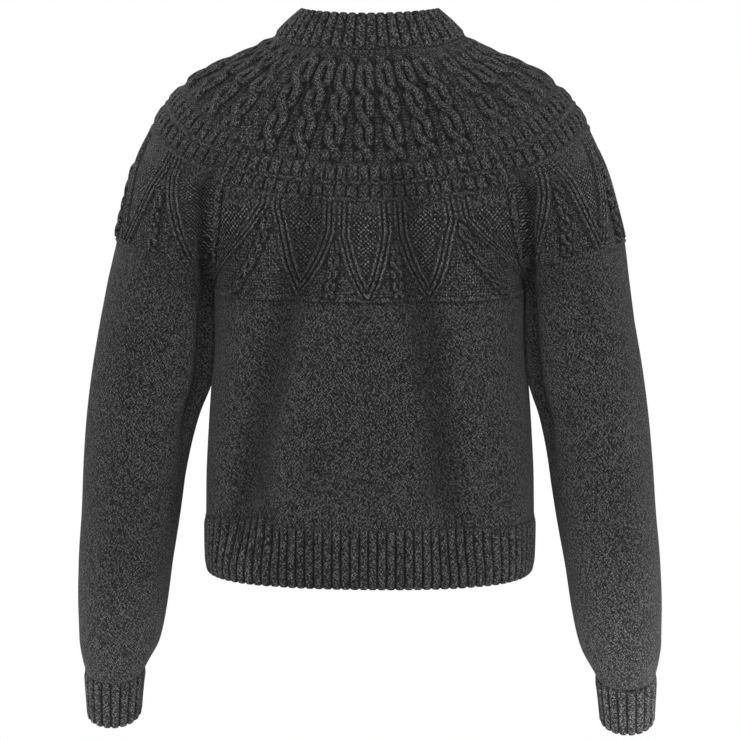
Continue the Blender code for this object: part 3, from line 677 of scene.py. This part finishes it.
wool.links.new(knit_map.outputs["UV"], uneven.inputs[2])
wool.links.new(uneven.outputs[0], stitched.inputs["Place"])
for mark in ("purl", "seed", "ribbed"):
    wool.links.new(marked[mark], stitched.inputs[mark.capitalize()])
stitched.inputs["Wale"].default_value = WALE
stitched.inputs["Course"].default_value = COURSE
spun = wool.nodes.new("ShaderNodeGroup")
spun.node_tree = melange
wool.links.new(stitched.outputs["Tone"], spun.inputs["Tone"])
wool.links.new(stitched.outputs["Height"], spun.inputs["Height"])
wool.links.new(marked["hollow"], spun.inputs["Hollow"])
wool.links.new(spun.outputs["Colour"], shader.inputs["Base Color"])
wool.links.new(maths(wool, "MULTIPLY_ADD", spun.outputs["Fibre"], 0.2, 0.78), shader.inputs["Roughness"])
bump = wool.nodes.new("ShaderNodeBump")
bump.inputs["Distance"].default_value = 0.0009
bump.inputs["Strength"].default_value = 1.0
fibrous = maths(wool, "MULTIPLY_ADD", spun.outputs["Fibre"], 0.35, stitched.outputs["Height"])
wool.links.new(fibrous, bump.inputs["Height"])
wool.links.new(bump.outputs["Normal"], shader.inputs["Normal"])


def trough(points, line, reach, depth):
    """A soft trough down the cloth along (x, z) places: how far it sinks in."""
    line = np.array(line)[::-1]
    middle = np.interp(points[..., 2], line[:, 1], line[:, 0])
    fade = soft(points[..., 2], line[0, 1] - 0.02, line[0, 1] + 0.05) * (
        1 - soft(points[..., 2], line[-1, 1] - 0.05, line[-1, 1] + 0.02))
    return -depth * fade * np.exp(-(((points[..., 0] - middle) / reach) ** 2))


def sunken(points, share, creases):
    """How far creases sink in, easing off toward the side seams."""
    sink = sum(trough(points, *crease) for crease in creases)
    return sink * soft(np.minimum(share, 1 - share), 0.0, 0.08)


BACK_CREASES = (
    # its (x, z) places from the top down, then its reach to either side and its depth
    (((-0.050, -0.134), (-0.056, -0.202), (-0.078, -0.271), (-0.097, -0.349), (-0.130, -0.500)), 0.019, 0.0140),
    (((0.030, -0.105), (0.045, -0.202), (0.061, -0.280), (0.074, -0.380), (0.083, -0.480)), 0.018, 0.0135),
    (((-0.100, -0.420), (-0.094, -0.470), (-0.088, -0.530)), 0.009, 0.0045),
    (((0.085, -0.430), (0.098, -0.475), (0.105, -0.530)), 0.012, 0.0035),
)


def back_drape(points, level, share):
    """Creases of the back: two long soft troughs either side of its middle, and two at the hem."""
    return sunken(points, share, BACK_CREASES)


def pulled_seam(level, share):
    """Where the back's cloth is taken from, once its hem seam is pulled up beside a crease and the
    ribs there lean toward it."""
    table = np.array(TRUNK)
    keys, drops = table[:, 0], table[:, 2]
    lift = np.interp(share, (0, 0.05, 0.17, 0.25, 0.276, 0.298, 0.341, 0.5, 0.65, 0.727, 0.80, 0.845, 1),
                     (0, 0.0002, 0.008, 0.0125, 0.013, 0.004, 0.0022, 0.0008, 0.003, 0.004, 0.002, 0.0008, 0))
    lean = np.interp(share, (0, 0.06, 0.12, 0.20, 0.29, 0.36, 0.62, 0.70, 0.78, 0.88, 0.95, 1),
                     (0, -0.002, 0, 0.005, 0.002, 0, 0, -0.003, -0.003, 0.002, 0.002, 0))
    near = soft(level, 1.45, 2.0) * (1 - soft(level, 2.15, 3.0))
    lifted = np.interp(np.interp(level, keys, drops) - lift * near, drops, keys)
    return np.where(level > 1.4, lifted, level), lean * near


YOKE_COLUMNS = 440
back = knitted(
    "back_panel", "back", lambda level: trunk_row(level, -1),
    (
        (np.linspace(0.0, 0.398, 84), 230), (np.linspace(0.401, 1.0, 144), YOKE_COLUMNS),
        (np.linspace(1.015, 2.0, 62), 150),
    ),
    ((np.linspace(0.0, 2.0, 46), 110),),
    yoke_relief(BACK_PATTERN, True, 0.255), back_drape, pull=pulled_seam,
)

# --- Front ------------------------------------------------------------------------------------
# The front panel, knitted like the back but with a lower neck, in the same wool. It is sewn to
# the sleeves along its raglan seams and to the back down both sides.
FRONT_PATTERN = dict(
    BACK_PATTERN,
    bar_count=27,
    bundles=(
        (0.600, 0.200, -0.010, 0.350), (0.660, 0.408, 0.338, 0.500),
        (0.665, 0.592, 0.500, 0.660), (0.605, 0.800, 0.652, 1.010),
    ),
)


FRONT_CREASES = (
    (((0.052, -0.150), (0.060, -0.230), (0.078, -0.300), (0.098, -0.380), (0.110, -0.460)), 0.018, 0.0115),
    (((-0.036, -0.130), (-0.050, -0.230), (-0.062, -0.320), (-0.086, -0.457)), 0.018, 0.0120),
    (((0.100, -0.430), (0.104, -0.475), (0.108, -0.530)), 0.012, 0.0035),
)


def front_drape(points, level, share):
    """Creases of the front: two troughs, a little less deep than the back's, and one at the hem."""
    return sunken(points, share, FRONT_CREASES)


front = knitted(
    "front_panel", "front", lambda level: trunk_row(level, 1),
    (
        (np.linspace(0.0, 0.398, 76), 230), (np.linspace(0.401, 1.0, 144), YOKE_COLUMNS),
        (np.linspace(1.015, 2.0, 60), 150),
    ),
    ((np.linspace(0.0, 2.0, 46), 110),),
    yoke_relief(FRONT_PATTERN, True, 0.205), front_drape,
)

# --- Sleeves ----------------------------------------------------------------------------------
# Two raglan sleeves in the same wool, each knitted flat with its part of the yoke, sewn to the
# body along the raglan seams and to itself along the underarm. The wearer's left is at -X.
SLEEVE_YOKE = (
    # level, out_x, out_drop, heading, edge_reach, out_reach
    (0.000, 0.0940, -0.0005, 38, 0.020, 0.025),
    (0.095, 0.1150, 0.0130, 30, 0.022, 0.030),
    (0.173, 0.1385, 0.0225, 20, 0.028, 0.038),
    (0.287, 0.1710, 0.0380, 10, 0.036, 0.048),
    (0.400, 0.2005, 0.0640, 0, 0.040, 0.052),
    (0.460, 0.2145, 0.0865, -8, 0.042, 0.055),
    (0.575, 0.2338, 0.1300, -25, 0.045, 0.060),
    (0.685, 0.2435, 0.1650, -45, 0.050, 0.065),
    (0.810, 0.2515, 0.1970, -68, 0.060, 0.070),
    (1.000, 0.2597, 0.2400, -90, 0.077, 0.077),
)
ARM = (
    # level, inner_x, outer_x, inner_drop, outer_drop, middle_y, depth, lean_degrees
    (1.00, 0.1548, 0.2597, 0.2515, 0.2400, 0.000, 0.0578, 0),
    (1.10, 0.1553, 0.2665, 0.2900, 0.2800, 0.000, 0.0575, 0),
    (1.22, 0.1585, 0.2750, 0.3365, 0.3280, 0.000, 0.0570, 1),
    (1.33, 0.1712, 0.2810, 0.3780, 0.3710, 0.001, 0.0560, 3),
    (1.45, 0.1815, 0.2860, 0.4250, 0.4190, 0.007, 0.0545, 6),
    (1.60, 0.1905, 0.2905, 0.4810, 0.4760, 0.018, 0.0520, 10),
    (1.73, 0.2000, 0.2957, 0.5330, 0.5290, 0.028, 0.0495, 12),
    (1.86, 0.2105, 0.2980, 0.5840, 0.5810, 0.036, 0.0470, 14),
    (1.93, 0.2180, 0.2980, 0.6150, 0.6130, 0.041, 0.0440, 16),
    (1.97, 0.2258, 0.2955, 0.6340, 0.6330, 0.043, 0.0390, 18),
    (2.00, 0.2315, 0.2925, 0.6470, 0.6470, 0.044, 0.0325, 20),
    (2.50, 0.2350, 0.2915, 0.6700, 0.6700, 0.047, 0.0305, 22),
    (3.00, 0.2375, 0.2905, 0.6935, 0.6935, 0.050, 0.0290, 24),
)
HALF_ELLIPSE_REACH = 4 / 3
SLEEVE_SWING = {"left": 0.0034, "right": -0.0034}
SLEEVE_PATTERN = {
    "cables": 9,
    "cable_rise": 0.0038,
    "first_cable": 0.55,
    "cables_end": 0.335,
    "bars": (0.340, 0.400, 0.407, 0.462),
    "bar_count": 27,
    "bands": (0.470, 0.820),
    "bundles": (
        (0.480, 0.130, 0.056, 0.300), (0.510, 0.375, 0.297, 0.500),
        (0.500, 0.625, 0.500, 0.695), (0.475, 0.855, 0.690, 0.935),
    ),
}


def sleeve_row(level, hand):
    """A row of a sleeve: the right one from its back seam round the outside to its front seam, and
    the left one from front to back."""
    swing = SLEEVE_SWING[hand]
    if level <= 1:
        out_x, out_drop, heading, edge_reach, out_reach = at_level(SLEEVE_YOKE, level)
        turn = math.radians(heading)
        out = np.array((out_x + swing * ramp(level, 0.85, 1.10), 0, -out_drop))
        halves = []
        for side, table in ((-1, BACK_YOKE), (1, FRONT_YOKE)):
            columns = at_level(table, level)
            edge = np.array((columns[2] + underarm_gap(level), side * columns[3], -columns[4]))
            away = np.array((math.cos(turn), -side * math.sin(turn), 0))
            halves.append(curve(edge, edge + edge_reach * away, out + (0, side * out_reach, 0), out))
        points = chain(halves[0], halves[1][::-1])
    else:
        inner_x, outer_x, inner_drop, outer_drop, middle_y, depth, lean = at_level(ARM, level)
        inner_x += underarm_gap(level) + swing * ramp(level, 1.25, 1.50)
        inner = np.array((inner_x, middle_y, -inner_drop))
        outer = np.array((outer_x + swing * ramp(level, 0.85, 1.10), middle_y, -outer_drop))
        tilt = math.radians(lean)
        back = depth * HALF_ELLIPSE_REACH * np.array((0, -math.cos(tilt), -math.sin(tilt)))
        points = chain(
            curve(inner, inner + back, outer + back, outer),
            curve(outer, outer - back, inner - back, inner),
        )
    return points if hand == "right" else mirrored(points)


def sleeve_drape(points, level, share):
    """Soft folds of a sleeve, which lies against the body below the underarm and bags at the cuff."""
    inner = 1 - soft(np.minimum(share, 1 - share), 0.02, 0.16)
    lie = 0.0016 * inner * soft(level, 0.86, 1.0) * (1 - soft(level, 1.22, 1.42))
    bag = 0.0030 * inner * soft(level, 1.70, 1.90) * (1 - soft(level, 1.93, 2.0))
    away = np.minimum(share, 1 - share)
    dip = np.exp(-(((away - 0.035 - 0.035 * soft(level, 0.85, 1.1)) / 0.036) ** 2)) * soft(away, 0.0, 0.022)
    return lie + bag - 0.0120 * dip * soft(level, 0.40, 0.58) * (1 - soft(level, 1.25, 1.50))


left_pattern = dict(SLEEVE_PATTERN, bundles=tuple(
    (parts_at, 1 - parting, 1 - right, 1 - left)
    for parts_at, parting, left, right in (
        (0.520, 0.176, 0.102, 0.345), (0.510, 0.420, 0.350, 0.530),
        (0.500, 0.650, 0.525, 0.715), (0.475, 0.860, 0.710, 0.935),
    )[::-1]
))
for hand, pattern in (("right", SLEEVE_PATTERN), ("left", left_pattern)):
    sleeve = knitted(
        "sleeve_panel_" + hand, "sleeve_" + hand, lambda level, hand=hand: sleeve_row(level, hand),
        (
            (np.linspace(0.0, 0.333, 78), 190), (np.linspace(0.336, 0.84, 140), 340),
            (np.linspace(0.85, 2.0, 130), 150),
        ),
        ((np.linspace(0.0, 2.0, 60), 100),),
        yoke_relief(pattern, False, 0.310), sleeve_drape,
    )

# --- Neckband ---------------------------------------------------------------------------------
# A ribbed band knitted on round the neck, 38 mm high, with a soft cast-off top edge.
NECK_TOP_HALF_WIDTH = 0.0655
NECK_TOP = {"back": (-0.0580, -0.0235), "side": (-0.0020, -0.0270), "front": (0.0560, 0.0240)}
NECK_BULGE = 0.0015
ROUND_REACH = 0.56
TRIM_RIB_RISE = 0.0022
RIB_PART = 0.84  # of a rib's space, and purl ground for the rest
NECK_RIBS = 46


def neckband_row(level):
    """A row of the neckband: level 0 is its top edge and level 1 the neck seam."""
    right = sleeve_row(0, "right")
    seam = chain(trunk_row(0, -1), right, trunk_row(0, 1), mirrored(right))
    lengths = np.linalg.norm(np.diff(seam, axis=0), axis=1)
    start = lengths[: len(trunk_row(0, -1)) // 2].sum() / lengths.sum()
    back, side, front = (np.array((0, y, -drop)) for y, drop in NECK_TOP.values())
    side[0] = NECK_TOP_HALF_WIDTH
    reach = np.array((NECK_TOP_HALF_WIDTH * ROUND_REACH, 0, 0))
    to_side = np.array((0, ROUND_REACH, 0))
    half = chain(
        curve(back, back + reach, side + to_side * (back[1] - side[1]), side),
        curve(side, side + to_side * (front[1] - side[1]), front + reach, front),
    )
    shares = np.linspace(0, 1, 361)
    ends = []
    for loop, first in ((seam, start), (chain(half, mirrored(half)), 0)):
        run = np.concatenate(([0], np.cumsum(np.linalg.norm(np.diff(loop, axis=0), axis=1))))
        at = (shares + first) % 1 * run[-1]
        ends.append(np.stack([np.interp(at, run, loop[:, axis]) for axis in range(3)], axis=1))
    low, high = ends
    high[-1], low[-1] = high[0], low[0]
    outward = low * (1, 1, 0)
    outward /= np.linalg.norm(outward, axis=1)[:, None]
    return high + (low - high) * level + outward * NECK_BULGE * math.sin(math.pi * level)


def ribs_relief(count, ring=False):
    """Heights, stitch columns and marks of a band of upright ribs, two stitches wide each."""

    def relief(level, share, length):
        off = np.abs(share * count % 1 - 0.5) * 2
        height = TRIM_RIB_RISE * np.maximum(0, 1 - (off / RIB_PART) ** 3.5) ** 0.5
        edge = np.minimum(share, 1 - share) * length
        eased = 1.0 if ring else soft(edge, 0.0, 0.003) * (0.3 + 0.7 * soft(level, 2.0, 2.1))
        height = height * eased + 0 * level
        across = (share * count * 3 + 0.5) * WALE + 0 * level
        none = 0 * height
        purl = np.where(off > RIB_PART, 1.0, none)
        return height, across, {"purl": purl, "seed": none, "ribbed": none, "open": none}

    return relief


def still(points, level, share):
    """Cloth that hangs without a crease."""
    return 0.0 * (points[..., 0] + level + share)


def neck_relief(level, share, length):
    """The band's ribs, which sink into the yoke at the seam."""
    height, across, marks = ribs_relief(NECK_RIBS, ring=True)(level, share, length)
    return height * (1 - 0.85 * soft(level, 0.82, 0.98)), across, marks


neckband = knitted(
    "neck_ribbing", "neckband", neckband_row,
    ((np.linspace(0.05, 0.986, 38), NECK_RIBS * 12 + 1),),
    ((np.linspace(0.05, 0.986, 14), NECK_RIBS * 4 + 1),),
    neck_relief, still, open_edge="top", ring=True, follow=0.3,
)

# --- Hem ribs ---------------------------------------------------------------------------------
# A ribbed band at the foot of the back, 57 mm high, and one at the foot of the front, 53 mm,
# both in the plain knit's wool. The bottom edge is open.
HEM_RIBS = 51
for name, side, panel_drape in (("hem_rib_back", -1, back_drape), ("hem_rib_front", 1, front_drape)):
    hem = knitted(
        name.replace("hem_rib", "hem_ribbing"), name, lambda level, side=side: trunk_row(level, side),
        ((np.linspace(2.003, 3.0, 40), HEM_RIBS * 11 + 1),),
        ((np.linspace(2.003, 3.0, 14), HEM_RIBS * 3 + 1),),
        ribs_relief(HEM_RIBS), panel_drape, open_edge="bottom", follow=0.3,
        pull=pulled_seam if side < 0 else None,
    )

# --- Cuffs ------------------------------------------------------------------------------------
# A ribbed tube at each wrist, 47 mm long, which gathers the sleeve. Its lower edge is open.
CUFF_RIBS = 20
for hand in ("right", "left"):
    cuff = knitted(
        "cuff_ribbing_" + hand, "cuff_" + hand, lambda level, hand=hand: sleeve_row(level, hand),
        ((np.linspace(2.003, 3.0, 36), CUFF_RIBS * 14 + 1),),
        ((np.linspace(2.003, 3.0, 12), CUFF_RIBS * 4 + 1),),
        ribs_relief(CUFF_RIBS), still, open_edge="bottom", follow=0.3,
    )

# --- Room -------------------------------------------------------------------------------------
# A plain pale floor, a white surround, soft lamps, and the camera at the photograph's angle.
AIM = Vector((0, 0, -0.332))
DISTANCE = 3.2
FIELD = 0.74  # metres across the picture at that distance
SENSOR = 36
AZIMUTH, ELEVATION = math.radians(3.4), math.radians(7.0)
bpy.ops.object.select_all(action="DESELECT")
bpy.ops.mesh.primitive_grid_add(x_subdivisions=8, y_subdivisions=8, size=5.0, location=(0, 0, -1.42))
floor = bpy.context.object
floor.name = "floor"
bpy.ops.object.transform_apply(location=True, rotation=True, scale=True)
pale = bpy.data.materials.new("pale floor")
pale.use_nodes = True
pale_shader = pale.node_tree.nodes["Principled BSDF"]
pale_shader.inputs["Roughness"].default_value = 0.9
grain = pale.node_tree.nodes.new("ShaderNodeTexNoise")
grain.inputs["Scale"].default_value = 3.0
tint = pale.node_tree.nodes.new("ShaderNodeValToRGB")
tint.color_ramp.elements[0].color = (0.78, 0.78, 0.78, 1)
tint.color_ramp.elements[1].color = (0.84, 0.84, 0.84, 1)
pale.node_tree.links.new(grain.outputs["Fac"], tint.inputs[0])
pale.node_tree.links.new(tint.outputs[0], pale_shader.inputs["Base Color"])
floor.data.materials.append(pale)

world = bpy.data.worlds.new("white surround")
bpy.context.scene.world = world
world.use_nodes = True
sky = world.node_tree
for node in list(sky.nodes):
    sky.nodes.remove(node)
seen, felt = sky.nodes.new("ShaderNodeBackground"), sky.nodes.new("ShaderNodeBackground")
seen.inputs["Color"].default_value, seen.inputs["Strength"].default_value = (1, 1, 1, 1), 1.0
felt.inputs["Color"].default_value, felt.inputs["Strength"].default_value = (1, 1, 1, 1), 0.09
choice, rays = sky.nodes.new("ShaderNodeMixShader"), sky.nodes.new("ShaderNodeLightPath")
sky.links.new(rays.outputs["Is Camera Ray"], choice.inputs[0])
sky.links.new(felt.outputs[0], choice.inputs[1])
sky.links.new(seen.outputs[0], choice.inputs[2])
sky.links.new(choice.outputs[0], sky.nodes.new("ShaderNodeOutputWorld").inputs["Surface"])
bpy.context.scene.view_settings.view_transform = "Standard"


def lamp(name, place, aim, size, watts, spread=180):
    """A soft round area lamp, which spreads its light over so many degrees."""
    data = bpy.data.lights.new(name, "AREA")
    data.shape, data.size, data.energy, data.spread = "DISK", size, watts, math.radians(spread)
    stand = bpy.data.objects.new(name, data)
    bpy.context.scene.collection.objects.link(stand)
    stand.location = place
    stand.rotation_euler = (Vector(aim) - Vector(place)).to_track_quat("-Z", "Y").to_euler()


lamp("key", (0.05, -2.7, 0.25), AIM, 0.6, 20)
lamp("left side", (-2.1, -1.9, 0.1), AIM, 0.6, 12)
lamp("right side", (2.1, -1.9, 0.1), AIM, 0.6, 17)
lamp("above", (0.1, -1.1, 1.3), (0, 0, -0.05), 0.6, 11)
lamp("low left", (-0.55, -0.75, -1.15), (-0.28, 0.03, -0.75), 0.3, 0.33, 36)
lamp("low right", (0.55, -0.75, -1.15), (0.28, 0.03, -0.75), 0.3, 0.65, 36)
lamp("front key", (-1.2, 2.6, 1.2), AIM, 1.6, 34)
lamp("left edge", (-2.5, 0.9, 0.1), AIM, 1.2, 22)
lamp("right edge", (2.5, 0.9, 0.0), AIM, 1.2, 24)

level_way = math.cos(ELEVATION)
toward = Vector((-math.sin(AZIMUTH) * level_way, math.cos(AZIMUTH) * level_way, -math.sin(ELEVATION)))
view = bpy.data.cameras.new("view")
view.sensor_width, view.lens = SENSOR, DISTANCE * SENSOR / FIELD
camera = bpy.data.objects.new("view", view)
bpy.context.scene.collection.objects.link(camera)
camera.location = AIM - DISTANCE * toward
camera.rotation_euler = toward.to_track_quat("-Z", "Y").to_euler()
bpy.context.scene.camera = camera
